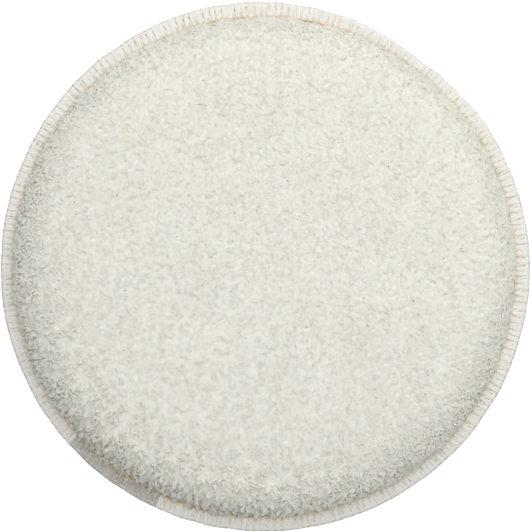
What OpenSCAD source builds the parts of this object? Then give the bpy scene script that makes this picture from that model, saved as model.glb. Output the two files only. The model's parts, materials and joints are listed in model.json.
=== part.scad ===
// Round polishing pad: a looped-pile face cloth over a crowned foam disc, closed on a loop-cloth
// back by one overlocked seam. Millimetres. The back lies on z = 0 and the face points along +Z.

/* [Pad] */
// Overall diameter, across the seam threads
pad_d = 150; // [125:1:180]
// Thickness of the foam at its middle
foam_t = 13; // [13:0.5:24]
// How much lower the foam is where its shoulder starts
foam_drop = 3.5; // [1:0.25:3.5]
// Radius of the foam's rounded shoulder
shoulder_r = 8; // [5:0.5:8]
// Distance from the line of needle stitches in to the foam's side
foam_inset = 2.7; // [2:0.1:4]

/* [Face cloth] */
// Height of the looped pile above its knitted ground
pile_h = 3; // [1.5:0.25:3.5]
// Thickness of the knitted ground
ground_t = 0.8; // [0.5:0.1:0.8]

/* [Back] */
// Height of the loop nap that a hook-faced plate grips
nap_h = 1.2; // [1:0.1:2]
// Thickness of the backing cloth under the nap
backing_t = 0.6; // [0.4:0.1:1]
// Thickness of each melted adhesive web
web_t = 0.2; // [0.1:0.05:0.4]

/* [Seam] */
// Width of the overlocked border, from its outer edge in to the needle stitches
seam_bite = 5; // [4:0.25:6]
// Thickness of a seam thread as it lies
thread_d = 0.45; // [0.3:0.05:0.6]
// Width of a looper thread, which spreads flat where it covers the border
thread_w = 0.7; // [0.4:0.05:0.7]
// Distance from one stitch to the next, along the needle stitches
stitch_pitch = 1.8; // [1.6:0.1:2.6]
// Direction of the place where the seam's end is sewn over its start
lap_at = 233; // [0:1:359]
// Angle that this lap takes
lap_angle = 22; // [8:1:30]

/* [Hidden] */
$fn = 96;

gap = 0.02; // keeps a thread just clear of the cloth that it lies on
pad_r = pad_d / 2;
seam_r = pad_r - seam_bite; // line of needle stitches

// Heights of the layers, from the back up
backing_z = nap_h;
border_z = backing_z + backing_t;
foam_z = border_z + web_t;
border_top = border_z + ground_t;
top_z = foam_z + foam_t;

// The foam's half outline: an upright side, a round shoulder and a crowned top, each tangent to the next
side_r = seam_r - foam_inset;
shoulder_c = side_r - shoulder_r;
crown_r = (pow(shoulder_c, 2) + pow(foam_drop, 2)) / (2 * foam_drop);
crown_z = top_z - crown_r;
shoulder_z = crown_z + sqrt(pow(crown_r - shoulder_r, 2) - pow(shoulder_c, 2));
shoulder_end = atan2(shoulder_z - crown_z, shoulder_c);
arc_steps = 12;

// The cut edge of both cloths, and the turn that the looper threads take round it
border_half = (backing_t + ground_t) / 2;
border_mid = backing_z + border_half;
wrap_r = border_half + gap + thread_d / 2;
cut_r = pad_r - wrap_r - thread_d / 2;

// Stitches come in fours, so that the pad measures the same along X and along Y
stitches = 4 * round(2 * PI * seam_r / (4 * stitch_pitch));
step = 360 / stitches;
lap_first = round((lap_at - lap_angle / 2) / step);
lap_last = round((lap_at + lap_angle / 2) / step);

// The dome's outline, from its side at height z up to its middle, grown outwards by grow
function outline(grow, z) = concat(
    [[side_r + grow, z]],
    [for (i = [0:arc_steps])
        let (a = shoulder_end * i / arc_steps)
        [shoulder_c + (shoulder_r + grow) * cos(a), shoulder_z + (shoulder_r + grow) * sin(a)]],
    [for (i = [1:arc_steps])
        let (a = shoulder_end + (90 - shoulder_end) * i / arc_steps)
        [i == arc_steps ? 0 : (crown_r + grow) * cos(a), crown_z + (crown_r + grow) * sin(a)]]
);

// The same points, last first
function reversed(points) = [for (i = [len(points) - 1:-1:0]) points[i]];

// A domed layer over the foam, between two distances from it, open below height z
module dome_layer(inner, outer, z) {
    rotate_extrude() polygon(concat(outline(outer, z), reversed(outline(inner, z))));
}

// One looper leg, seen from its side: along the border from the needle line to the cut edge, then round
// that edge to its middle
function leg_arc(radius) = [
    for (a = [90:-30:0])
        [cut_r + radius * cos(a), radius * sin(a)]
];
leg_outline = concat(
    [[seam_r + thread_d, wrap_r + thread_d / 2]], leg_arc(wrap_r + thread_d / 2),
    reversed(leg_arc(wrap_r - thread_d / 2)), [[seam_r + thread_d, wrap_r - thread_d / 2]]
);

// side is 1 for a leg on the face and -1 for a leg on the back
module looper_leg(angle, side) {
    rotate(angle) translate([0, thread_w / 2, border_mid]) mirror([0, 0, side > 0 ? 0 : 1])
        rotate([90, 0, 0]) linear_extrude(height = thread_w) polygon(leg_outline);
}

// One needle stitch: a short run along the seam line, resting on the face cloth
module needle_run(angle, radius) {
    run = 0.75 * stitch_pitch;
    rotate(angle) translate([radius, run / 2, border_top + gap + thread_d / 2]) rotate([90, 0, 0])
        cylinder(h = run, d = thread_d, $fn = 8);
}

module foam_core() {
    color("Ivory") rotate_extrude() polygon(concat([[0, foam_z]], outline(0, foam_z)));
}

module back_web() {
    color("WhiteSmoke") translate([0, 0, border_z]) cylinder(h = web_t, r = side_r);
}

module face_web() {
    color("WhiteSmoke") dome_layer(0, web_t, foam_z);
}

module backing_cloth() {
    color("Linen") translate([0, 0, backing_z]) cylinder(h = backing_t, r = cut_r);
}

// The nap is crushed flat under the seam, so it stands only inside the needle stitches
module loop_nap() {
    color("Snow") cylinder(h = nap_h, r = seam_r - thread_d);
}

// The knitted ground covers the dome and runs out flat to the cut edge
module face_ground_cloth() {
    color("OldLace") rotate_extrude() polygon(concat(
        [[cut_r, border_z], [cut_r, border_top], [side_r + web_t + ground_t, border_top]],
        outline(web_t + ground_t, border_top + ground_t),
        reversed(outline(web_t, border_z))
    ));
}

// The pile ends just above the seam threads, and overhangs their inner ends
module face_pile() {
    color("Ivory") dome_layer(web_t + ground_t, web_t + ground_t + pile_h, border_top + thread_d + 5 * gap);
}

module needle_thread() {
    color("AntiqueWhite") {
        for (i = [0:stitches - 1]) needle_run(i * step, seam_r);
        for (i = [lap_first:lap_last - 1]) needle_run((i + 0.5) * step, seam_r - thread_d - gap);
    }
}

module upper_looper_thread() {
    color("White") {
        for (i = [0:stitches - 1]) looper_leg(i * step, 1);
        for (i = [lap_first:lap_last - 1]) looper_leg((i + 0.5) * step, 1);
    }
}

// The lower looper's legs come midway between the upper looper's, and over the lap between its own
module lower_looper_thread() {
    color("White") {
        for (i = [0:stitches - 1]) looper_leg((i + 0.25) * step, -1);
        for (i = [lap_first:lap_last - 1]) looper_leg((i + 0.75) * step, -1);
    }
}

foam_core();
back_web();
face_web();
backing_cloth();
loop_nap();
face_ground_cloth();
face_pile();
needle_thread();
upper_looper_thread();
lower_looper_thread();
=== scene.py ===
"""Looks of a round polishing pad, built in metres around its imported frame.

The pad is a looped-pile face cloth drawn over a crowned foam disc and closed on a loop-cloth back by one
overlocked seam. Each sub-assembly is a class that holds its sizes, builds its meshes and dresses them.
"""
import json
import logging
import math
from dataclasses import dataclass, field
from enum import Enum

import bpy
import numpy as np
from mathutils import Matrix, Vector
from mathutils.kdtree import KDTree

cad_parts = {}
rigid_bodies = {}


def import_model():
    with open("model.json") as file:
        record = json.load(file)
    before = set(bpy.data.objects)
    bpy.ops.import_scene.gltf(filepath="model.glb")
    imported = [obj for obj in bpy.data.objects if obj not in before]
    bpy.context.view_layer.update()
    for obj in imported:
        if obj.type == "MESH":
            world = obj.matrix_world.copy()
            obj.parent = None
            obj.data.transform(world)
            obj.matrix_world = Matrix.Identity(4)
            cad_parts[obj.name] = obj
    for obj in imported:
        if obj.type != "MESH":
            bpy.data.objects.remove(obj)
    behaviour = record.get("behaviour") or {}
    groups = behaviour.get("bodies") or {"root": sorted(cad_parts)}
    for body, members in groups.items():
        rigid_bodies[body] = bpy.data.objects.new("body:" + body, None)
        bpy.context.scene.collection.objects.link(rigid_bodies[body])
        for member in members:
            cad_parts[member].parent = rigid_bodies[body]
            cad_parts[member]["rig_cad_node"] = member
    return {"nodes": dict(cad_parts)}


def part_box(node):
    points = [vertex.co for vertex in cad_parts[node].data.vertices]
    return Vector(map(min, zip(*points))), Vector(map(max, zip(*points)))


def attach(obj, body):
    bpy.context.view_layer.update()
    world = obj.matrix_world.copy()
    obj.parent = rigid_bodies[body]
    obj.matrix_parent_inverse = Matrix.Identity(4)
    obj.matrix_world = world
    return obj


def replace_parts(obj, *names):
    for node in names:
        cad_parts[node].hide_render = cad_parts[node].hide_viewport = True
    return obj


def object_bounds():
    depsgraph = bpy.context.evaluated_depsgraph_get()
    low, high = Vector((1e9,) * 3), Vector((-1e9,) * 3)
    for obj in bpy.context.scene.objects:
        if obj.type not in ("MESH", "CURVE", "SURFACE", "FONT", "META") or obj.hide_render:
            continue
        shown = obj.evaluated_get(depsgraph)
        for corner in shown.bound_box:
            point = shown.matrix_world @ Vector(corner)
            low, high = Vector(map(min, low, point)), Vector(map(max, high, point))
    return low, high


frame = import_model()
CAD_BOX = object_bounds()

MM = 0.001
BODY = "root"
BAKE_MAP = "OFBake"  # the name of the UV map that each piece is laid flat in, as seen from above
LOG = logging.getLogger("polishing_pad")
GOLDEN_ANGLE = math.pi * (3 - math.sqrt(5))  # turn from one scattered place to the next, in radians
SIDE_BAND = (0.62, 0.86)  # the shares of the domed outline over which the crown turns into the side
PILE_OUT = 3 * MM  # about how far outside the foam the pile stands
CLOTH_PAST_CUT = 0.35 * MM  # how far both cloths are drawn past the frame's cut edge


# ---------------------------------------------------------------------------------------------------------
# Numbers and shapes
# ---------------------------------------------------------------------------------------------------------


@dataclass(frozen=True)
class Ripple:
    """A smooth random field made of a few plane waves, about -1 to 1.

    Attributes:
        wavelength: the usual distance from crest to crest, in metres.
        seed: picks the waves.
        waves: how many waves are added.
    """

    wavelength: float
    seed: int
    waves: int = 14

    def at(self, points: np.ndarray) -> np.ndarray:
        """Reads the field.

        Args:
            points: places, shape (..., 3).

        Returns:
            One number for each place.
        """
        draw = np.random.default_rng(self.seed)
        heading = draw.normal(size=(self.waves, 3))
        heading /= np.linalg.norm(heading, axis=1, keepdims=True)
        number = 2 * math.pi / self.wavelength * draw.uniform(0.7, 1.4, (self.waves, 1)) * heading
        phase = draw.uniform(0, 2 * math.pi, self.waves)
        total = np.zeros(points.shape[:-1])
        for k, shift in zip(number, phase, strict=True):
            total += np.sin(points @ k + shift)
        return total / math.sqrt(self.waves / 2) * 0.6


def unit(vectors: np.ndarray) -> np.ndarray:
    """Returns the vectors, shape (..., 3), at length one."""
    return vectors / np.maximum(np.linalg.norm(vectors, axis=-1, keepdims=True), 1e-12)


def smooth_step(low: float, high: float, value: np.ndarray) -> np.ndarray:
    """Returns 0 below low, 1 above high and a smooth rise between them."""
    t = np.clip((value - low) / (high - low), 0, 1)
    return t * t * (3 - 2 * t)


def around(radius: np.ndarray | float, turn: np.ndarray, height: np.ndarray | float) -> np.ndarray:
    """Places points round the pad's middle.

    Args:
        radius: how far out each one is.
        turn: its direction, in radians.
        height: how high it is.

    Returns:
        The places, shape (..., 3).
    """
    return np.stack(np.broadcast_arrays(radius * np.cos(turn), radius * np.sin(turn), height), -1)


Lobes = tuple[tuple[float, float, float], ...]


def add_lobes(level: np.ndarray, lobes: Lobes, angle: np.ndarray) -> np.ndarray:
    """Adds smooth bulges and flats to a level that runs round the pad.

    Args:
        level: the level to start from.
        lobes: direction in degrees, amount and half width in degrees of each one.
        angle: direction of each place, in radians.

    Returns:
        The level with the lobes.
    """
    for centre, amount, half in lobes:
        away = (np.degrees(angle) - centre + 180) % 360 - 180
        level = level + amount * np.exp(-((away / half) ** 2))
    return level


def square_to_disc(a: np.ndarray, b: np.ndarray) -> tuple[np.ndarray, np.ndarray]:
    """Wraps a square's points on to a disc and returns their radius, 0 to 1, and direction."""
    wide = np.abs(a) >= np.abs(b)
    big = np.where(wide, a, b)
    safe = np.where(big == 0, 1, big)
    eighth = math.pi / 4 * np.where(wide, b / safe, a / safe)
    angle = np.where(wide, eighth, math.pi / 2 - eighth)
    return np.abs(big), np.where(big < 0, angle + math.pi, angle)


@dataclass
class Shell:
    """Points and faces of one mesh while it is being put together.

    Attributes:
        points: arrays of shape (n, 3).
        faces: arrays of shape (m, corners), whose numbers count through all the points.
        normals: one shading normal for each point, or nothing for Blender's own.
        count: how many points there are so far.
    """

    points: list[np.ndarray] = field(default_factory=list)
    faces: list[np.ndarray] = field(default_factory=list)
    normals: list[np.ndarray] = field(default_factory=list)
    count: int = 0

    def add(self, points: np.ndarray, faces: list[np.ndarray], normals: np.ndarray | None = None) -> None:
        """Adds a set of points with its faces, numbered from the set's own first point."""
        flat = points.reshape(-1, 3)
        self.points.append(flat)
        self.faces += [f + self.count for f in faces]
        if normals is not None:
            self.normals.append(normals.reshape(-1, 3))
        self.count += len(flat)

    def to_object(self, name: str) -> bpy.types.Object:
        """Makes the Blender object.

        Args:
            name: the piece's name.

        Returns:
            The linked object, smooth shaded, with a map seen from above.
        """
        mesh = bpy.data.meshes.new(name)
        points = np.concatenate(self.points).astype(np.float32)
        corners = np.concatenate([f.reshape(-1) for f in self.faces]).astype(np.int32)
        sizes = np.concatenate([np.full(len(f), f.shape[1], np.int32) for f in self.faces])
        starts = np.concatenate([[0], np.cumsum(sizes)[:-1]]).astype(np.int32)
        mesh.vertices.add(len(points))
        mesh.vertices.foreach_set("co", points.reshape(-1))
        mesh.loops.add(len(corners))
        mesh.loops.foreach_set("vertex_index", corners)
        mesh.polygons.add(len(sizes))
        mesh.polygons.foreach_set("loop_start", starts)
        mesh.update(calc_edges=True)
        mesh.shade_smooth()
        self._map_from_above(mesh, points, corners)
        if self.normals:
            mesh.normals_split_custom_set_from_vertices(np.concatenate(self.normals).astype(np.float32))
        made = bpy.data.objects.new(name, mesh)
        bpy.context.scene.collection.objects.link(made)
        return made

    @staticmethod
    def _map_from_above(mesh: bpy.types.Mesh, points: np.ndarray, corners: np.ndarray) -> None:
        """Lays the mesh flat, as it is seen from above, in a UV map that fills the unit square."""
        low = points[:, :2].min(0)
        span = max(float((points[:, :2].max(0) - low).max()), 1e-6)
        layer = mesh.uv_layers.new(name=BAKE_MAP)
        layer.data.foreach_set("uv", ((points[:, :2] - low) / span)[corners].astype(np.float32).reshape(-1))


def grid_faces(rows: int, columns: int, wrap_rows: bool = False, wrap_columns: bool = False) -> np.ndarray:
    """Quads of a grid of points.

    Args:
        rows: how many rows of points there are.
        columns: how many points a row has.
        wrap_rows: whether the last row joins the first.
        wrap_columns: whether the last column joins the first.

    Returns:
        Corner numbers, shape (quads, 4).
    """
    i = np.arange(rows if wrap_rows else rows - 1)[:, None]
    j = np.arange(columns if wrap_columns else columns - 1)[None, :]
    next_i, next_j = (i + 1) % rows, (j + 1) % columns
    quads = np.stack(np.broadcast_arrays(
        i * columns + j, i * columns + next_j, next_i * columns + next_j, next_i * columns + j), -1)
    return quads.reshape(-1, 4)


def strands(
    paths: np.ndarray, up: np.ndarray, width: np.ndarray, height: np.ndarray, sides: int,
    ply: np.ndarray | None = None, closed: bool = False,
) -> tuple[np.ndarray, list[np.ndarray], np.ndarray]:
    """Skins yarns round many paths at once.

    Args:
        paths: points along each yarn, shape (yarns, points, 3).
        up: which way each yarn's flat side looks at each point, the same shape.
        width: half width at each point, shape (yarns, points).
        height: half height at each point, the same shape.
        sides: how many corners a yarn's section has.
        ply: turn of the plies at each point, in radians, or nothing for a plain round section.
        closed: whether each path ends where it starts.

    Returns:
        The points, their faces and their outward normals.
    """
    along = np.roll(paths, -1, 1) - np.roll(paths, 1, 1)
    if not closed:
        along[:, 0] = paths[:, 1] - paths[:, 0]
        along[:, -1] = paths[:, -1] - paths[:, -2]
    along = unit(along)
    across = unit(np.cross(along, up))
    lift = np.cross(across, along)
    turn = np.arange(sides) * 2 * math.pi / sides
    bulge = np.ones((*width.shape, sides))
    if ply is not None:
        bulge += 0.14 * np.cos(2 * (turn - ply[..., None]))
    out = (across[:, :, None] * (np.cos(turn) * width[..., None] * bulge)[..., None]
           + lift[:, :, None] * (np.sin(turn) * height[..., None] * bulge)[..., None])
    points = paths[:, :, None] + out
    yarns, length = paths.shape[:2]
    ring = grid_faces(length, sides, wrap_rows=closed, wrap_columns=True)[:, ::-1]
    first = (np.arange(yarns) * length * sides)[:, None, None]
    faces = [(ring[None] + first).reshape(-1, 4)]
    if not closed:
        start = np.arange(sides)
        ends = np.stack([start, (start + (length - 1) * sides)[::-1]])
        faces.append((ends[None] + first).reshape(-1, sides))
    return points, faces, unit(out)


def round_cloth(name: str, upper: np.ndarray, lower: np.ndarray) -> bpy.types.Object:
    """Makes a closed, round cloth.

    Args:
        name: the piece's name.
        upper: rings of its upper face, from the middle outwards, shape (rings, columns, 3).
        lower: rings of its lower face, the same.

    Returns:
        The linked object.
    """
    rings = np.concatenate([upper, lower[::-1]])
    rows, columns = rings.shape[:2]
    cap = np.arange(columns)
    cloth = Shell()
    cloth.add(rings, [
        grid_faces(rows, columns, wrap_columns=True)[:, ::-1],
        cap[None],
        (cap[::-1] + (rows - 1) * columns)[None],
    ])
    return cloth.to_object(name)


# ---------------------------------------------------------------------------------------------------------
# The pad's shape
# ---------------------------------------------------------------------------------------------------------


@dataclass(frozen=True)
class PadShape:
    """Radii and heights of the pad, in metres, with the domed outline that every face layer follows.

    Attributes:
        pad_r: out to the seam threads.
        cut_r: out to the cut edge of both cloths.
        side_r: out to the foam's side.
        top_z: height of the foam's middle.
        backing_z: height of the backing cloth's underside.
        border_z: height of the face cloth's underside on the border.
        border_top: height of the face cloth's top on the border.
        nap_r: out to the edge of the loop nap.
        shoulder_r: radius of the foam's rounded shoulder.
        foam_drop: how much lower the foam is where the shoulder starts.
    """

    pad_r: float
    cut_r: float
    side_r: float
    top_z: float
    backing_z: float
    border_z: float
    border_top: float
    nap_r: float
    shoulder_r: float = 8 * MM
    foam_drop: float = 3.5 * MM

    @classmethod
    def from_frame(cls) -> "PadShape":
        """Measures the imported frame's nodes and returns the shape."""
        foam_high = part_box("foam_core")[1]
        backing_low, backing_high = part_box("backing_cloth")
        web_high, ground_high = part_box("face_web")[1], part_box("face_ground_cloth")[1]
        return cls(
            pad_r=CAD_BOX[1][0],
            cut_r=backing_high[0],
            side_r=foam_high[0],
            top_z=foam_high[2],
            backing_z=backing_low[2],
            border_z=backing_high[2],
            border_top=backing_high[2] + ground_high[2] - web_high[2],
            nap_r=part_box("loop_nap")[1][0],
        )

    def dome(
        self, share: np.ndarray, grow: float | np.ndarray
    ) -> tuple[np.ndarray, np.ndarray, np.ndarray, np.ndarray]:
        """Walks the domed outline from its middle down to the border.

        Args:
            share: how far along the outline, 0 at the middle and 1 at the foot of the side.
            grow: distance outside the foam.

        Returns:
            Radius, height and the outward normal's radial and upward parts, one each for each share.
        """
        middle_r = self.side_r - self.shoulder_r
        crown_r = (middle_r**2 + self.foam_drop**2) / (2 * self.foam_drop)
        crown_z = self.top_z - crown_r
        shoulder_z = crown_z + math.sqrt((crown_r - self.shoulder_r) ** 2 - middle_r**2)
        turn = math.atan2(shoulder_z - crown_z, middle_r)
        lengths = np.array([
            crown_r * (math.pi / 2 - turn),
            (self.shoulder_r + PILE_OUT) * turn,
            shoulder_z - self.border_top,
        ])
        marks = np.concatenate([[0], np.cumsum(lengths)]) / lengths.sum()
        parts = [np.clip((share - marks[i]) / (marks[i + 1] - marks[i]), 0, 1) for i in range(3)]
        angle = math.pi / 2 - parts[0] * (math.pi / 2 - turn) - parts[1] * turn
        on_crown = share < marks[1]
        centre_r = np.where(on_crown, 0.0, middle_r)
        centre_z = np.where(on_crown, crown_z, shoulder_z) - parts[2] * lengths[2]
        radius = np.where(on_crown, crown_r, self.shoulder_r) + grow
        out, rise = np.cos(angle), np.sin(angle)
        return centre_r + radius * out, centre_z + radius * rise, out, rise


@dataclass(frozen=True)
class EdgeWander:
    """How far the sewn edge strays from a true circle.

    Attributes:
        lobes: direction in degrees, amount in metres and half width in degrees of each bulge or flat.
        waver: how far it strays over a few stitches, in metres.
        lift: how far the border waves up and down, in metres.
    """

    lobes: Lobes = (
        (53, -1.25 * MM, 13), (104, 0.7 * MM, 22), (135, 0.25 * MM, 14), (2, 0.5 * MM, 16),
        (330, 0.4 * MM, 22))
    waver: float = 0.12 * MM
    lift: float = 0.22 * MM

    def move(self, shape: PadShape, points: np.ndarray) -> np.ndarray:
        """Moves points on or near the border with the edge, and leaves the rest of the pad alone.

        Args:
            shape: the pad's radii.
            points: places, shape (..., 3).

        Returns:
            The moved places.
        """
        radius = np.hypot(points[..., 0], points[..., 1])
        angle = np.arctan2(points[..., 1], points[..., 0])
        rim = shape.pad_r * around(1.0, angle, 0.0)
        stray = add_lobes(self.waver * Ripple(9 * MM, 5).at(rim), self.lobes, angle)
        share = smooth_step(shape.side_r + 1 * MM, shape.pad_r, radius)
        scale = 1 + stray * share / np.maximum(radius, 1 * MM)
        lift = self.lift * share * Ripple(24 * MM, 8).at(rim)
        return np.stack([points[..., 0] * scale, points[..., 1] * scale, points[..., 2] + lift], -1)


@dataclass
class FaceSurface:
    """The slightly uneven surface that the pile stands on, shaped by formulas and not by a simulation.

    Attributes:
        shape: the pad's shape.
        edge: the stray of the sewn edge.
        soft: gentle hollows and rises of the face, in metres.
        pucker: smaller hollows and rises beside the seam, in metres.
        pulls: direction in degrees, amount in metres and half width in degrees of each place where the seam
            holds the side further in or lets it further out.
        nap_from: direction in degrees that the nap is brushed from, where the tufts open.
    """

    shape: PadShape
    edge: EdgeWander
    soft: float = 0.22 * MM
    pucker: float = 0.3 * MM
    pulls: Lobes = (
        (178, 0.3 * MM, 30), (236, -0.8 * MM, 18), (275, -0.5 * MM, 20), (0, 0.4 * MM, 45),
        (85, 0.2 * MM, 40), (140, 0.5 * MM, 30), (320, 0.4 * MM, 25))
    nap_from: float = 240.0

    def open_nap(self, angle: np.ndarray) -> np.ndarray:
        """Returns how far the nap stands open in a direction, 0 to 1."""
        return (0.5 + 0.5 * np.cos(angle - math.radians(self.nap_from))) ** 3

    def point(
        self, share: np.ndarray, angle: np.ndarray, grow: float | np.ndarray
    ) -> tuple[np.ndarray, np.ndarray]:
        """Places points on a layer of the face.

        Args:
            share: how far along the domed outline, 0 at the middle and 1 at the foot.
            angle: direction round the pad, in radians.
            grow: distance outside the foam.

        Returns:
            Places and outward normals, shape (..., 3).
        """
        radius, height, out, rise = self.shape.dome(share, 0.0)
        normal = around(out, angle, rise)
        place = around(radius, angle, height)
        held = 1 - smooth_step(0.93, 1.0, share)
        stand = grow + self.soft * Ripple(26 * MM, 21).at(place) * held
        uneven = add_lobes(self.pucker * Ripple(7 * MM, 22).at(place), self.pulls, angle)
        pull = uneven * smooth_step(0.84, 0.95, share)
        return self.edge.move(self.shape, place + normal * (stand + pull)[..., None]), normal


# ---------------------------------------------------------------------------------------------------------
# Finishes
# ---------------------------------------------------------------------------------------------------------

Colour = tuple[float, float, float]


@dataclass(frozen=True)
class YarnFinish:
    """A matt, slightly hairy yarn whose colour drifts between a few near shades.

    Attributes:
        name: the material's name.
        shades: the colours, from the deepest to the palest.
        drift: how wide the patches of colour are, in metres.
        fleck: how long the single light and dark flecks are, in metres.
        fleck_share: how much the flecks count beside the patches, 0 to 1.
        roughness: how matt it is.
        sheen: strength of the fibres' soft glow at a flat angle.
    """

    name: str
    shades: tuple[Colour, ...]
    drift: float = 6 * MM
    fleck: float = 1.2 * MM
    fleck_share: float = 0.6
    roughness: float = 0.92
    sheen: float = 0.15

    def make(self) -> bpy.types.Material:
        """Makes the material and returns it."""
        material = bpy.data.materials.new(self.name)
        material.use_nodes = True
        tree = material.node_tree
        shader = tree.nodes["Principled BSDF"]
        shader.inputs["Roughness"].default_value = self.roughness
        shader.inputs["Specular IOR Level"].default_value = 0.25
        shader.inputs["Sheen Weight"].default_value = self.sheen
        shader.inputs["Sheen Roughness"].default_value = 0.5
        place = tree.nodes.new("ShaderNodeTexCoord").outputs["Object"]
        tree.links.new(self._colour(tree, place), shader.inputs["Base Color"])
        self._surface(tree, place, shader)
        return material

    def _colour(self, tree: bpy.types.NodeTree, place: bpy.types.NodeSocket) -> bpy.types.NodeSocket:
        """Mixes patches with flecks and returns the colour's socket."""
        patch = self._noise(tree, place, self.drift, 2)
        fleck = self._noise(tree, place, self.fleck, 3)
        both = tree.nodes.new("ShaderNodeMix")
        both.inputs["Factor"].default_value = self.fleck_share
        tree.links.new(patch, both.inputs["A"])
        tree.links.new(fleck, both.inputs["B"])
        ramp = tree.nodes.new("ShaderNodeValToRGB")
        stops = ramp.color_ramp.elements
        while len(stops) < len(self.shades):
            stops.new(0.5)
        for i, shade in enumerate(self.shades):
            stops[i].position = 0.36 + 0.28 * i / (len(self.shades) - 1)
            stops[i].color = (*shade, 1)
        tree.links.new(both.outputs["Result"], ramp.inputs["Fac"])
        return ramp.outputs["Color"]

    def _surface(
        self, tree: bpy.types.NodeTree, place: bpy.types.NodeSocket, shader: bpy.types.ShaderNode
    ) -> None:
        """Adds nothing: the yarn's surface is in its mesh."""

    @staticmethod
    def _bump(
        tree: bpy.types.NodeTree, height: bpy.types.NodeSocket, shader: bpy.types.ShaderNode,
        strength: float, depth: float,
    ) -> None:
        """Turns a height into bump of the given strength and depth on the shader."""
        bump = tree.nodes.new("ShaderNodeBump")
        bump.inputs["Strength"].default_value = strength
        bump.inputs["Distance"].default_value = depth
        tree.links.new(height, bump.inputs["Height"])
        tree.links.new(bump.outputs["Normal"], shader.inputs["Normal"])

    @staticmethod
    def _noise(
        tree: bpy.types.NodeTree, place: bpy.types.NodeSocket, size: float, detail: float
    ) -> bpy.types.NodeSocket:
        """Adds a noise whose blobs have the given size and returns its value socket."""
        noise = tree.nodes.new("ShaderNodeTexNoise")
        noise.inputs["Scale"].default_value = 1 / size
        noise.inputs["Detail"].default_value = detail
        tree.links.new(place, noise.inputs["Vector"])
        return noise.outputs["Fac"]


@dataclass(frozen=True)
class KnitFinish(YarnFinish):
    """A knitted or woven cloth, with the rows of its stitches in the bump.

    Attributes:
        stitch: distance between rows, in metres.
        relief: depth of the rows, in metres.
    """

    stitch: float = 0.9 * MM
    relief: float = 0.12 * MM

    def _surface(
        self, tree: bpy.types.NodeTree, place: bpy.types.NodeSocket, shader: bpy.types.ShaderNode
    ) -> None:
        """Adds the crossed rows of stitches as bump."""
        heights = []
        for direction in ("X", "Y"):
            wave = tree.nodes.new("ShaderNodeTexWave")
            wave.bands_direction = direction
            wave.inputs["Scale"].default_value = 0.314 / self.stitch
            wave.inputs["Distortion"].default_value = 1.2
            wave.inputs["Detail Scale"].default_value = 2.0
            tree.links.new(place, wave.inputs["Vector"])
            heights.append(wave.outputs["Fac"])
        rows = tree.nodes.new("ShaderNodeMath")
        rows.operation = "MULTIPLY"
        tree.links.new(heights[0], rows.inputs[0])
        tree.links.new(heights[1], rows.inputs[1])
        self._bump(tree, rows.outputs["Value"], shader, 0.8, self.relief)


@dataclass(frozen=True)
class FoamFinish(YarnFinish):
    """Open-cell foam or a porous web, with its cells in the bump.

    Attributes:
        cell: how wide a cell is, in metres.
        relief: how deep the cells look, in metres.
    """

    cell: float = 0.7 * MM
    relief: float = 0.25 * MM

    def _surface(
        self, tree: bpy.types.NodeTree, place: bpy.types.NodeSocket, shader: bpy.types.ShaderNode
    ) -> None:
        """Adds the cells as bump."""
        cells = tree.nodes.new("ShaderNodeTexVoronoi")
        cells.inputs["Scale"].default_value = 1 / self.cell
        tree.links.new(place, cells.inputs["Vector"])
        self._bump(tree, cells.outputs["Distance"], shader, 0.9, self.relief)


class Shade(Enum):
    """The finishes that this pad is made in."""

    PILE = YarnFinish(
        "pile_yarn", ((0.78, 0.765, 0.67), (0.80, 0.785, 0.695), (0.80, 0.80, 0.73), (0.835, 0.82, 0.73)),
        drift=5 * MM, fleck=0.9 * MM, fleck_share=0.6)
    GROUND = KnitFinish(
        "face_knit", ((0.70, 0.61, 0.46), (0.75, 0.68, 0.55), (0.79, 0.74, 0.64)),
        drift=14 * MM, fleck=0.8 * MM, fleck_share=0.4)
    NEEDLE = YarnFinish(
        "needle_thread", ((0.54, 0.38, 0.21), (0.66, 0.51, 0.32), (0.74, 0.62, 0.44)),
        drift=4 * MM, fleck=0.7 * MM)
    LOOPER = YarnFinish(
        "looper_thread", ((0.78, 0.75, 0.68), (0.81, 0.79, 0.73), (0.81, 0.80, 0.77), (0.84, 0.825, 0.76)),
        drift=5 * MM, fleck=0.9 * MM, sheen=0.1, roughness=0.8)
    # The lap's threads: a greyer second pass, darkened further with painted shade because the lap lies on the
    # side away from the light.
    LAP = YarnFinish(
        "looper_thread", ((0.43, 0.40, 0.34), (0.52, 0.50, 0.45), (0.59, 0.58, 0.54)),
        drift=4 * MM, fleck=0.8 * MM, sheen=0.1, roughness=0.85)
    BACKING = KnitFinish(
        "backing_knit", ((0.62, 0.60, 0.55), (0.70, 0.68, 0.62), (0.76, 0.74, 0.68)), stitch=1.1 * MM)
    NAP = YarnFinish(
        "loop_nap", ((0.64, 0.63, 0.60), (0.74, 0.73, 0.70), (0.82, 0.81, 0.78)), drift=9 * MM, fleck=1 * MM)
    FOAM = FoamFinish(
        "foam", ((0.70, 0.62, 0.40), (0.80, 0.73, 0.52), (0.86, 0.80, 0.60)), drift=12 * MM, fleck=0.7 * MM)
    WEB = FoamFinish(
        "adhesive_web", ((0.70, 0.69, 0.64), (0.80, 0.79, 0.75)),
        cell=1.6 * MM, relief=0.1 * MM, roughness=0.6)

    def dress(self, piece: bpy.types.Object) -> bpy.types.Object:
        """Puts the finish on a piece.

        Args:
            piece: a piece, or a node of the frame.

        Returns:
            The same piece.
        """
        name = self.name.lower() + "_finish"
        material = bpy.data.materials.get(name)
        if material is None:
            material = self.value.make()
            material.name = name
        if piece.material_slots:
            for held in piece.material_slots:
                held.material = material
        else:
            piece.data.materials.append(material)
        return piece


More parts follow.
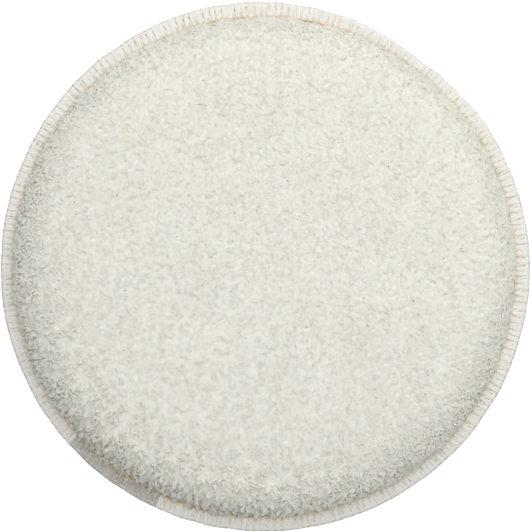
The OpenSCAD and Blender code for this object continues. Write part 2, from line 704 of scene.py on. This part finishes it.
def place_piece(piece: bpy.types.Object, shade: Shade, *nodes: str) -> bpy.types.Object:
    """Dresses a piece, fixes it to the pad and hides the nodes that it stands for.

    Args:
        piece: the piece.
        shade: its finish.
        *nodes: names of the frame's nodes that it stands for.

    Returns:
        The same piece.
    """
    shade.dress(piece)
    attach(piece, BODY)
    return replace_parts(piece, *nodes)


# ---------------------------------------------------------------------------------------------------------
# The face
# ---------------------------------------------------------------------------------------------------------


@dataclass
class Stitching:
    """Where each stitch of the overlocked seam falls.

    Attributes:
        count: stitches in one round.
        lap_at: where the seam's two ends lap, in degrees.
        lap_span: how wide the lap is, in degrees.
        jitter: how unevenly the stitches are spaced, as a share of one stitch.
        seed: picks the jitter.
    """

    count: int = 244
    lap_at: float = 233.0
    lap_span: float = 22.0
    jitter: float = 0.12
    seed: int = 41

    @property
    def step(self) -> float:
        """Angle from one stitch to the next, in radians."""
        return 2 * math.pi / self.count

    def angles(self) -> tuple[np.ndarray, np.ndarray]:
        """Returns the stitches' directions in radians, and 1 for those where the two ends lap."""
        draw = np.random.default_rng(self.seed)
        first = (np.arange(self.count) + draw.normal(0, self.jitter, self.count)) * self.step
        low = math.radians(self.lap_at - self.lap_span / 2)
        high = low + math.radians(self.lap_span)
        second = np.arange(low, high, self.step)
        second = second + self.step * (0.45 + draw.normal(0, self.jitter, len(second)))
        every = np.concatenate([first, second])
        return every, ((every > low) & (every < high + self.step)).astype(int)


@dataclass
class FaceCloth:
    """The knitted ground of the face: a dome over the foam, turned out flat along the border.

    Attributes:
        surface: the face's surface.
        stitching: the seam that dents the border.
        columns: points round the pad.
        thickness: how thick the cloth is.
    """

    surface: FaceSurface
    stitching: Stitching
    columns: int = 976
    thickness: float = 0.7 * MM

    def build(self) -> bpy.types.Object:
        """Builds and dresses the cloth, and returns it."""
        shape = self.surface.shape
        angle = np.arange(self.columns) * 2 * math.pi / self.columns
        share = np.concatenate([[0.002], np.linspace(0.05, 0.7, 12), np.linspace(0.74, 0.995, 18)])
        top, normal = self.surface.point(share[:, None], angle[None], 1.0 * MM)
        foot = np.hypot(top[-1, :, 0], top[-1, :, 1])
        out = np.linspace(0, 1, 10)[1:, None]
        radius = foot * (1 - out) + (shape.cut_r + CLOTH_PAST_CUT) * out
        dent = -0.1 * MM * np.cos(angle * self.stitching.count) * smooth_step(0.2, 0.5, out)
        fall = 0.9 * MM * smooth_step(0.75, 1.0, out) - 0.12 * MM
        flat = self.surface.edge.move(shape, around(radius, angle, shape.border_top - fall + dent))
        top = np.concatenate([top, flat])
        normal = np.concatenate([normal, np.broadcast_to([0.0, 0.0, 1.0], flat.shape)])
        under = top - unit(normal) * self.thickness
        made = place_piece(round_cloth("face_cloth", top, under), Shade.GROUND, "face_ground_cloth")
        return made


@dataclass
class PileBed:
    """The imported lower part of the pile: a crowned, closed, bumpy form on the face cloth.

    Attributes:
        surface: the face's surface.
        points_a_side: how fine its grid is.
        height: how far its top stands outside the foam: on the crown, on the side, and on the side where the
            nap stands open.
        bump: depth of its bumps.
    """

    surface: FaceSurface
    points_a_side: int = 281
    height: tuple[float, float, float] = (3.33 * MM, 3.12 * MM, 2.55 * MM)
    bump: float = 0.12 * MM

    def build(self) -> bpy.types.Object:
        """Builds and dresses the bed, and returns it."""
        n = self.points_a_side
        side = np.linspace(-1, 1, n)
        share, angle = square_to_disc(*np.meshgrid(side, side))
        thin = smooth_step(*SIDE_BAND, share)
        low = self.height[1] + (self.height[2] - self.height[1]) * self.surface.open_nap(angle)
        place, normal = self.surface.point(share, angle, self.height[0] + (low - self.height[0]) * thin)
        bump = self.bump * (1 + 0.9 * thin) * Ripple(1.7 * MM, 31, 24).at(place)
        place = place + normal * bump[..., None]
        under, _ = self.surface.point(share, angle, 1.1 * MM)
        faces = grid_faces(n, n)
        rim = np.concatenate([np.arange(n - 1), np.arange(n - 1) * n + n - 1,
                              n * n - 1 - np.arange(n - 1), (n - 1 - np.arange(n - 1)) * n])
        wall = np.stack([rim, np.roll(rim, -1), np.roll(rim, -1) + n * n, rim + n * n], -1)
        bed = Shell()
        bed.add(np.concatenate([place.reshape(-1, 3), under.reshape(-1, 3)]),
                [faces, faces[:, ::-1] + n * n, wall[:, ::-1]])
        made = place_piece(bed.to_object("pile_bed"), Shade.PILE, "face_pile")
        return made


@dataclass
class PileLoops:
    """The curly loops of yarn that make the face, in sectors round the pad.

    Attributes:
        surface: the face's surface.
        count: how many loops there are.
        sectors: how many pieces they are made in.
        root: how far outside the foam a loop starts, on the crown and on the side.
        rise: least and greatest height of a loop above its root.
        span: least and greatest length of a loop's crown.
        yarn: least and greatest half width of the yarn.
        flatten: how far the shading is turned towards the face's own surface, where the nap lies close and
            where it stands open.
        lift: how far the shading of the side is turned upwards where the nap lies close.
        tufts: how many tufts the loops gather in.
        tuft_r: how far a tuft reaches.
        gather: how strongly they gather on the crown, and on the side.
        seed: picks the loops.
        points: points along a loop.
        sides: corners of its section.
    """

    surface: FaceSurface
    count: int = 30000
    sectors: int = 10
    root: tuple[float, float] = (2.8 * MM, 2.3 * MM)
    rise: tuple[float, float] = (0.45 * MM, 0.85 * MM)
    span: tuple[float, float] = (1.0 * MM, 2.1 * MM)
    yarn: tuple[float, float] = (0.19 * MM, 0.27 * MM)
    flatten: tuple[float, float] = (0.95, 0.64)
    lift: float = 3.0
    tufts: int = 3200
    tuft_r: float = 1.7 * MM
    gather: tuple[float, float] = (0.3, 1.0)
    seed: int = 7
    points: int = 7
    sides: int = 5

    def build(self) -> list[bpy.types.Object]:
        """Builds and dresses the loops, and returns the pieces."""
        draw = np.random.default_rng(self.seed)
        share, angle = self._spread(draw, self.count)
        steep = smooth_step(*SIDE_BAND, share)
        foot, normal = self.surface.point(share, angle, self.root[0] + (self.root[1] - self.root[0]) * steep)
        round_way = np.stack([-np.sin(angle), np.cos(angle), np.zeros_like(angle)], -1)
        down_way = np.cross(round_way, normal)
        open_nap = self.surface.open_nap(angle)
        heading = draw.uniform(0, 2 * math.pi, self.count)
        low = share > 0.86
        heading[low] = math.pi / 2 + draw.normal(0, 0.6, int(low.sum()))
        ahead = round_way * np.cos(heading)[:, None] + down_way * np.sin(heading)[:, None]
        aside = np.cross(normal, ahead)
        t = np.linspace(0, 1, self.points)
        span, rise = draw.uniform(*self.span, self.count), draw.uniform(*self.rise, self.count)
        rise *= 1 + 0.2 * Ripple(2.6 * MM, 71, 24).at(foot) + (0.2 + 0.7 * open_nap) * steep
        span *= 1 - 0.2 * steep
        flatten = self.flatten[0] + (self.flatten[1] - self.flatten[0]) * steep * open_nap
        facing = unit(normal + self.lift * (steep * (1 - 0.95 * open_nap))[:, None] * [0, 0, 1])
        curl = draw.normal(0, 0.24 * MM, (self.count, 2))
        phase = draw.uniform(0, 2 * math.pi, self.count)
        gather = (self.gather[0] + (self.gather[1] - self.gather[0]) * steep) * open_nap
        inward, close = self._tufts(draw, foot)
        rise *= 1 + gather * (1.5 * close - 0.55)
        combed = self._lean(foot, round_way, down_way) * (1 - 0.6 * steep[:, None])
        lean = combed + inward * 0.75 * gather[:, None]
        lean[:, 2] += 0.5 * MM * smooth_step(0.78, 0.93, share)
        arch = np.sin(math.pi * t) ** 0.75
        wave = np.sin(2 * math.pi * t[None] * 1.4 + phase[:, None])
        along = span[:, None] * (t - 0.5) * 0.8 + curl[:, :1] * wave
        side = curl[:, 1:] * wave * 1.2 + 0.25 * span[:, None] * (arch - 0.5) * np.sign(curl[:, :1])
        above = rise[:, None] * arch - 0.25 * MM * (1 - arch)
        path = (foot[:, None] + ahead[:, None] * along[..., None] + aside[:, None] * side[..., None]
                + normal[:, None] * above[..., None] + lean[:, None] * arch[None, :, None])
        thick = draw.uniform(*self.yarn, self.count)[:, None] * (0.8 + 0.2 * arch)
        up = np.broadcast_to(normal[:, None], path.shape)
        sector = np.floor((angle % (2 * math.pi)) / (2 * math.pi) * self.sectors).astype(int)
        made = []
        for i in range(self.sectors):
            chosen = sector == i
            points, faces, out = strands(
                path[chosen], up[chosen], thick[chosen], thick[chosen] * 0.85, self.sides)
            shell = Shell()
            flat = flatten[chosen][:, None, None, None]
            out = unit(out * (1 - flat) + facing[chosen][:, None, None] * flat)
            shell.add(points, faces, out)
            made.append(place_piece(shell.to_object(f"pile_loops_{i + 1}"), Shade.PILE, "face_pile"))
        return made

    def _tufts(self, draw: np.random.Generator, foot: np.ndarray) -> tuple[np.ndarray, np.ndarray]:
        """Gathers the loops in tufts.

        Args:
            draw: the source of the tufts' unevenness.
            foot: where the loops stand.

        Returns:
            The way from each loop to the middle of its tuft, and how near it is to that middle, 0 to 1.
        """
        middle = self.surface.point(*self._spread(draw, self.tufts), self.root[0])[0]
        tree = KDTree(self.tufts)
        for i, place in enumerate(middle.tolist()):
            tree.insert(place, i)
        tree.balance()
        nearest = np.array([tree.find(place)[1] for place in foot.tolist()])
        inward = middle[nearest] - foot
        return inward, np.clip(1 - np.linalg.norm(inward, axis=1) / self.tuft_r, 0, 1)

    def _spread(self, draw: np.random.Generator, count: int) -> tuple[np.ndarray, np.ndarray]:
        """Spreads a number of places evenly over the face and returns their shares and directions."""
        share = np.linspace(0, 1, 600)
        radius = self.surface.shape.dome(share, PILE_OUT)[0]
        area = np.concatenate([[0], np.cumsum((radius[1:] + radius[:-1]) / 2)])
        part = (np.arange(count) + 0.5) / count
        found = np.interp(part * area[-1], area, share)
        apart = 0.72 * MM * math.sqrt(30000 / count)
        found = np.clip(found + draw.normal(0, 0.5 * apart / (75 * MM), count), 0.001, 1)
        turn = np.arange(count) * GOLDEN_ANGLE
        turn += draw.normal(0, 0.5 * apart, count) / np.maximum(found * 72 * MM, 1 * MM)
        return found, turn % (2 * math.pi)

    @staticmethod
    def _lean(foot: np.ndarray, round_way: np.ndarray, down_way: np.ndarray) -> np.ndarray:
        """Returns how far the loops' tops are combed over, in drifting directions."""
        one, other = Ripple(11 * MM, 51).at(foot), Ripple(11 * MM, 52).at(foot)
        return 0.3 * MM * (round_way * one[:, None] + down_way * other[:, None])


# ---------------------------------------------------------------------------------------------------------
# The seam
# ---------------------------------------------------------------------------------------------------------


@dataclass
class OverlockSeam:
    """The overlocked edge: looper threads over and under the border and a line of needle stitches.

    Attributes:
        shape: the pad's shape.
        edge: the stray of the sewn edge.
        stitching: where the stitches fall.
        inner_r: radius of the needle line where it shows.
        thread: half width of a looper thread.
        flatten: how far the looper threads' shading is turned towards the border's own surface.
        sides: corners of a thread's section.
        seed: picks each stitch's slack.
    """

    shape: PadShape
    edge: EdgeWander
    stitching: Stitching
    inner_r: float = 71.0 * MM
    thread: float = 0.33 * MM
    flatten: float = 0.5
    sides: int = 8
    seed: int = 61

    def build(self) -> list[bpy.types.Object]:
        """Builds and dresses the threads, and returns the pieces."""
        return [
            *self._looper("upper_looper", 1),
            *self._looper("lower_looper", -1),
            *self._slants(),
            self._needle(),
            self._chain(),
        ]

    def _twist(self, path: np.ndarray, turns: float = 900.0) -> np.ndarray:
        """Returns the turn of a thread's plies at each point of its path."""
        length = np.linalg.norm(np.diff(path, axis=1), axis=2)
        return np.concatenate([np.zeros((len(path), 1)), np.cumsum(length, 1)], 1) * turns * 2 * math.pi

    def _looper(self, name: str, face: int) -> list[bpy.types.Object]:
        """Makes one looper's threads: a bight over the border at each stitch, hooked round the needle line.

        Args:
            name: the name of the plain round; the lap adds to it.
            face: 1 for the upper side of the border, -1 for the lower.

        Returns:
            The two pieces.
        """
        draw = np.random.default_rng(self.seed + face)
        angle, lap = self.stitching.angles()
        if face < 0:
            angle = angle + 0.5 * self.stitching.step
        count = len(angle)
        top, bottom = self.shape.border_top + 0.06 * MM, self.shape.backing_z - 0.06 * MM
        middle, half = (top + bottom) / 2, (top - bottom) / 2
        inner = self.inner_r + draw.normal(0, 0.16 * MM, count)
        slack = 0.16 * MM * np.abs(draw.normal(0, 1, count)) + 0.14 * MM * lap
        wide = draw.uniform(0.17, 0.21, count) * self.stitching.step
        skew = draw.normal(0, 0.08, count) * self.stitching.step
        t = np.linspace(0, 1, 27)
        bight = np.abs(2 * t - 1)
        run = smooth_step(0.0, 0.12, bight) * 0.25 + 0.75 * np.clip((bight - 0.02) / 0.66, 0, 1)
        round_edge = np.clip((bight - 0.68) / 0.32, 0, 1) * math.radians(118)
        outer = self.shape.pad_r - 0.3 * MM - half
        radius = inner[:, None] + (outer - inner[:, None]) * run + half * np.sin(round_edge)
        hump = (0.1 * MM + slack[:, None]) * np.sin(math.pi * np.clip(run, 0, 1)) * np.cos(round_edge / 2)
        sink = 0.1 * MM * (1 - smooth_step(0, 0.3, run))
        height = middle + face * (half * np.cos(round_edge) + hump - sink)
        swing = np.sign(2 * t - 1) * (smooth_step(0, 0.1, bight) * 0.55 + 0.45 * bight)
        turn = angle[:, None] + wide[:, None] * swing + skew[:, None] * run
        path = self.edge.move(self.shape, around(radius, turn, height))
        outward = around(np.sin(round_edge), turn, face * np.cos(round_edge))
        thick = self.thread * draw.uniform(0.9, 1.1, (count, 1)) * (1 - 0.15 * lap[:, None])
        return self._passes(name, name + "_thread", lap, path, outward, thick * (0.98 + 0.3 * run), 0.62)

    def _passes(
        self, name: str, node: str, lap: np.ndarray, path: np.ndarray, outward: np.ndarray, thick: np.ndarray,
        flat: float,
    ) -> list[bpy.types.Object]:
        """Skins one thread's stitches in two pieces: the plain round, and the lap in its own darker finish,
        which is partly the lap's greyer thread and partly painted shade.

        Args:
            name: the name of the plain round; the lap adds to it.
            node: the frame's node that the thread stands for.
            lap: 1 for the stitches in the lap, 0 for the others.
            path: points along each stitch.
            outward: the way out of the border at each point.
            thick: the thread's half width at each point.
            flat: the thread's half height, as a share of its half width.

        Returns:
            The two pieces.
        """
        twist = self._twist(path)
        made = []
        # the lap's darker finish is partly its own greyer thread and partly painted shade of the side away
        # from the light
        for part, (ending, shade) in enumerate((("", Shade.LOOPER), ("_lap_shaded", Shade.LAP))):
            own = lap == part
            points, faces, side = strands(
                path[own], outward[own], thick[own], thick[own] * flat, self.sides, twist[own])
            shell = Shell()
            turned = side * (1 - self.flatten) + outward[own][:, :, None] * self.flatten
            shell.add(points, faces, unit(turned))
            made.append(place_piece(shell.to_object(name + ending), shade, node))
        return made

    def _slants(self) -> list[bpy.types.Object]:
        """Makes the upper looper's slanting legs, which fill the gaps towards the edge."""
        draw = np.random.default_rng(self.seed + 9)
        angle, lap = self.stitching.angles()
        t = np.linspace(0, 1, 15)
        half = (self.shape.border_top - self.shape.backing_z) / 2
        round_edge = np.clip((t - 0.72) / 0.28, 0, 1) * math.radians(115)
        inner = self.inner_r + draw.uniform(0.05 * MM, 0.7 * MM, (len(angle), 1))
        outer = self.shape.pad_r - 0.42 * MM - half
        run = np.clip(t / 0.72, 0, 1)
        radius = inner + (outer - inner) * run + half * np.sin(round_edge)
        height = ((self.shape.border_top + self.shape.backing_z) / 2 + half * np.cos(round_edge)
                  + (0.05 * MM + draw.uniform(0, 0.1 * MM, inner.shape)) * np.sin(math.pi * run))
        ends = draw.normal(0, 0.07, (2, len(angle), 1)) + [[[0.3]], [[0.62]]]
        slant = ends[0] + (ends[1] - ends[0]) * smooth_step(0, 0.75, run)
        turn = angle[:, None] + self.stitching.step * slant
        path = self.edge.move(self.shape, around(radius, turn, height))
        outward = around(np.sin(round_edge), turn, np.cos(round_edge))
        thick = self.thread * draw.uniform(0.85, 1.1, inner.shape) * (0.8 + 0.35 * run)
        return self._passes("upper_looper_slants", "upper_looper_thread", lap, path, outward, thick, 0.6)

    def _needle(self) -> bpy.types.Object:
        """Makes the needle stitches along the border's inner side, and returns the piece."""
        draw = np.random.default_rng(self.seed + 5)
        angle = np.sort(self.stitching.angles()[0] % (2 * math.pi))
        following = np.roll(angle, -1) + np.where(np.arange(len(angle)) == len(angle) - 1, 2 * math.pi, 0)
        t = np.linspace(0, 1, 9)
        turn = angle[:, None] + (following - angle)[:, None] * t
        arch = np.sin(math.pi * t) ** 0.6
        radius = self.inner_r + draw.normal(0, 0.06 * MM, (len(angle), 1)) - 0.25 * MM * arch
        height = self.shape.border_top - 0.15 * MM + 0.58 * MM * arch + 0 * turn
        path = self.edge.move(self.shape, around(radius, turn, height))
        thick = np.full(turn.shape, 0.25 * MM)
        up = np.broadcast_to([0.0, 0.0, 1.0], path.shape)
        points, faces, _ = strands(path, up, thick, thick, self.sides, self._twist(path))
        shell = Shell()
        shell.add(points, faces)
        return place_piece(shell.to_object("needle_stitches"), Shade.NEEDLE, "needle_thread")

    def _chain(self) -> bpy.types.Object:
        """Makes the purl where the two loopers lock, packed under the bights, and returns the piece."""
        count = self.stitching.count
        turn = np.linspace(0, 2 * math.pi, count * 8, endpoint=False)
        phase = turn * count
        out = around(1.0, turn, 0.0)
        uneven = Ripple(4 * MM, 63).at(75 * MM * out)
        radius = self.shape.pad_r - 1.0 * MM + 0.06 * MM * np.sin(phase) + 0.05 * MM * uneven
        height = (self.shape.border_top + self.shape.backing_z) / 2 + 0.08 * MM * np.cos(phase)
        path = self.edge.move(self.shape, around(radius, turn, height))
        deep, wide = np.full((1, len(turn)), 0.9 * MM), np.full((1, len(turn)), 0.65 * MM)
        points, faces, _ = strands(path[None], out[None], deep, wide, self.sides, closed=True)
        shell = Shell()
        shell.add(points, faces)
        return place_piece(
            shell.to_object("edge_purl"), Shade.LOOPER, "upper_looper_thread", "lower_looper_thread")


# ---------------------------------------------------------------------------------------------------------
# The back
# ---------------------------------------------------------------------------------------------------------


@dataclass
class LoopBack:
    """The loop cloth that grips a machine's plate: a knitted disc with a nap of fine loops under it.

    Attributes:
        shape: the pad's shape.
        edge: the stray of the sewn edge.
        loops: how many loops the nap has.
        pieces: how many pieces the nap is made in.
        columns: points round the knitted disc.
        seed: picks the loops.
    """

    shape: PadShape
    edge: EdgeWander
    loops: int = 12000
    pieces: int = 3
    columns: int = 488
    seed: int = 91

    def build(self) -> list[bpy.types.Object]:
        """Builds and dresses the cloth and its nap, and returns the pieces."""
        return [self._cloth(), *self._nap()]

    def _cloth(self) -> bpy.types.Object:
        """Makes the knitted disc, and returns it."""
        angle = np.arange(self.columns) * 2 * math.pi / self.columns
        radius = np.concatenate([
            np.linspace(0.5 * MM, self.shape.side_r, 40),
            np.linspace(68.5 * MM, self.shape.cut_r + CLOTH_PAST_CUT, 7),
        ])
        low = around(radius[:, None], angle, self.shape.backing_z)
        wave = 0.06 * MM * Ripple(2.2 * MM, 92, 24).at(low)
        low = self.edge.move(self.shape, low + wave[..., None] * [0, 0, 1])
        high = low + [0, 0, self.shape.border_z - self.shape.backing_z]
        made = place_piece(round_cloth("back_cloth", high, low), Shade.BACKING, "backing_cloth")
        return made

    def _nap(self) -> list[bpy.types.Object]:
        """Makes the loops under the cloth, and returns the pieces."""
        draw = np.random.default_rng(self.seed)
        part = (np.arange(self.loops) + 0.5) / self.loops
        radius = (self.shape.nap_r - 0.5 * MM) * np.sqrt(part)
        foot = around(radius, np.arange(self.loops) * GOLDEN_ANGLE, self.shape.backing_z)
        foot[:, :2] += draw.normal(0, 0.3 * MM, (self.loops, 2))
        heading = draw.uniform(0, 2 * math.pi, self.loops)
        ahead = around(1.0, heading, 0.0)
        aside = np.cross([0, 0, 1], ahead)
        t = np.linspace(0, 1, 7)
        arch = np.sin(math.pi * t) ** 0.7
        span = draw.uniform(0.8 * MM, 1.7 * MM, self.loops)[:, None]
        deep = draw.uniform(0.75 * MM, 1.08 * MM, self.loops)[:, None]
        lean = draw.normal(0, 0.45 * MM, self.loops)[:, None]
        path = (foot[:, None] + ahead[:, None] * (span * (t - 0.5) * (0.7 + 0.5 * arch))[..., None]
                + aside[:, None] * (lean * arch)[..., None] - np.array([0, 0, 1]) * (deep * arch)[..., None])
        thick = np.full(path.shape[:2], 0.1 * MM)
        up = np.broadcast_to([0.0, 0.0, -1.0], path.shape)
        made = []
        for i, chosen in enumerate(np.array_split(np.arange(self.loops), self.pieces)):
            shell = Shell()
            points, faces, _ = strands(path[chosen], up[chosen], thick[chosen], thick[chosen], 4)
            shell.add(points, faces)
            made.append(place_piece(shell.to_object(f"nap_loops_{i + 1}"), Shade.NAP, "loop_nap"))
        return made


@dataclass
class Filling:
    """The foam and the two adhesive webs, which keep the frame's own shapes."""

    shades: dict[str, Shade] = field(default_factory=lambda: {
        "foam_core": Shade.FOAM, "face_web": Shade.WEB, "back_web": Shade.WEB})

    def dress(self) -> list[bpy.types.Object]:
        """Dresses the nodes and returns them."""
        return [shade.dress(frame["nodes"][name]) for name, shade in self.shades.items()]


# ---------------------------------------------------------------------------------------------------------
# The studio
# ---------------------------------------------------------------------------------------------------------


@dataclass(frozen=True)
class Softbox:
    """A round soft light that looks at the pad.

    Attributes:
        name: its name.
        azimuth: direction that it stands in, in degrees.
        elevation: how high it stands, in degrees.
        far: how far away it is.
        size: how wide it is.
        power: its power in watts.
        tint: its colour.
    """

    name: str
    azimuth: float
    elevation: float
    far: float
    size: float
    power: float
    tint: Colour = (1.0, 1.0, 1.0)

    def hang(self) -> None:
        """Adds the light to the scene."""
        turn, rise = math.radians(self.azimuth), math.radians(self.elevation)
        away = Vector((math.cos(turn) * math.cos(rise), math.sin(turn) * math.cos(rise), math.sin(rise)))
        light = bpy.data.lights.new(self.name, "AREA")
        light.shape, light.size, light.energy, light.color = "DISK", self.size, self.power, self.tint
        lamp = bpy.data.objects.new(self.name, light)
        lamp.location = away * self.far
        lamp.rotation_euler = away.to_track_quat("Z", "Y").to_euler()
        bpy.context.scene.collection.objects.link(lamp)


@dataclass
class Studio:
    """A pale table that curves up into a backdrop, soft lights and a camera straight above.

    Attributes:
        view_width: how much of the table the camera takes in, in metres, at the height of the seam.
        camera_height: how high the camera is over the seam.
        camera_at: where the camera stands over the table.
        lights: the soft lights.
        ambient: brightness of the light from all round.
        glow: the table's own light, which keeps it white.
        table_r: how far the flat of the table reaches before it curves up.
    """

    view_width: float = 151 * MM
    camera_height: float = 1.0
    camera_at: tuple[float, float] = (0.45 * MM, 0.43 * MM)
    lights: tuple[Softbox, ...] = (
        Softbox("overhead", 60, 88, 1.6, 1.2, 12.0),
        Softbox("key", 68, 36, 1.3, 1.1, 6.9, (1.0, 0.985, 0.955)))
    ambient: float = 0.40
    glow: float = 0.6
    table_r: float = 2.4

    def build(self) -> None:
        """Sets up the table, the lights and the camera."""
        self._table()
        for light in self.lights:
            light.hang()
        self._air()
        self._camera()
        bpy.context.scene.view_settings.view_transform = "Standard"

    def _table(self) -> None:
        """Lays the table under the pad, and lets it add no light of its own to the pad."""
        angle = np.arange(96) * 2 * math.pi / 96
        rise = np.linspace(0, math.pi / 2, 9)
        flat = np.array([0.01, 0.6, 1.4, self.table_r])
        self._white("table", flat, 0 * flat, angle, self.glow)
        radius = np.concatenate([self.table_r + 1.2 * np.sin(rise), [self.table_r + 1.2]])
        height = np.concatenate([1.2 * (1 - np.cos(rise)), [4.0]])
        self._white("backdrop", radius, height, angle, 1.0)

    @staticmethod
    def _white(name: str, radius: np.ndarray, height: np.ndarray, angle: np.ndarray, glow: float) -> None:
        """Makes one turned, white part of the stage.

        Args:
            name: its name.
            radius: radii of its rings.
            height: their heights.
            angle: directions of the points of a ring.
            glow: how much light it gives off itself.
        """
        rings = around(radius[:, None], angle, height[:, None])
        shell = Shell()
        faces = [grid_faces(len(radius), len(angle), wrap_columns=True)[:, ::-1]]
        if radius[0] < 0.1:
            faces.append(np.arange(len(angle))[None])
        shell.add(rings, faces)
        made = shell.to_object(name)
        material = bpy.data.materials.new(name + "_white")
        material.use_nodes = True
        shader = material.node_tree.nodes["Principled BSDF"]
        shader.inputs["Base Color"].default_value = (0.9, 0.9, 0.9, 1)
        shader.inputs["Roughness"].default_value = 0.9
        shader.inputs["Specular IOR Level"].default_value = 0.1
        shader.inputs["Emission Color"].default_value = (1, 1, 1, 1)
        shader.inputs["Emission Strength"].default_value = glow
        made.data.materials.append(material)
        made.visible_diffuse = made.visible_glossy = False

    def _air(self) -> None:
        """Sets the light from all round."""
        world = bpy.data.worlds.new("studio")
        world.use_nodes = True
        world.node_tree.nodes["Background"].inputs["Color"].default_value = (0.975, 0.985, 1.0, 1)
        world.node_tree.nodes["Background"].inputs["Strength"].default_value = self.ambient
        bpy.context.scene.world = world

    def _camera(self) -> None:
        """Sets the camera straight above the pad."""
        data = bpy.data.cameras.new("camera")
        data.sensor_width = 36.0
        data.lens = data.sensor_width * self.camera_height / self.view_width
        data.clip_start, data.clip_end = 0.05, 20.0
        camera = bpy.data.objects.new("camera", data)
        camera.location = (*self.camera_at, self.camera_height + 2.5 * MM)
        bpy.context.scene.collection.objects.link(camera)
        bpy.context.scene.camera = camera


def main() -> None:
    """Builds the pad in the order that it is sewn, then sets up the studio."""
    logging.basicConfig(level=logging.INFO, format="%(name)s: %(message)s")
    Studio().build()
    shape, edge, stitching = PadShape.from_frame(), EdgeWander(), Stitching()
    surface = FaceSurface(shape, edge)
    pieces = [
        *Filling().dress(),
        *LoopBack(shape, edge).build(),
        FaceCloth(surface, stitching).build(),
        PileBed(surface).build(),
        *PileLoops(surface).build(),
        *OverlockSeam(shape, edge, stitching).build(),
    ]
    for piece in pieces:
        LOG.info("%s: %d faces", piece.name, len(piece.data.polygons))


if __name__ == "__main__":
    main()
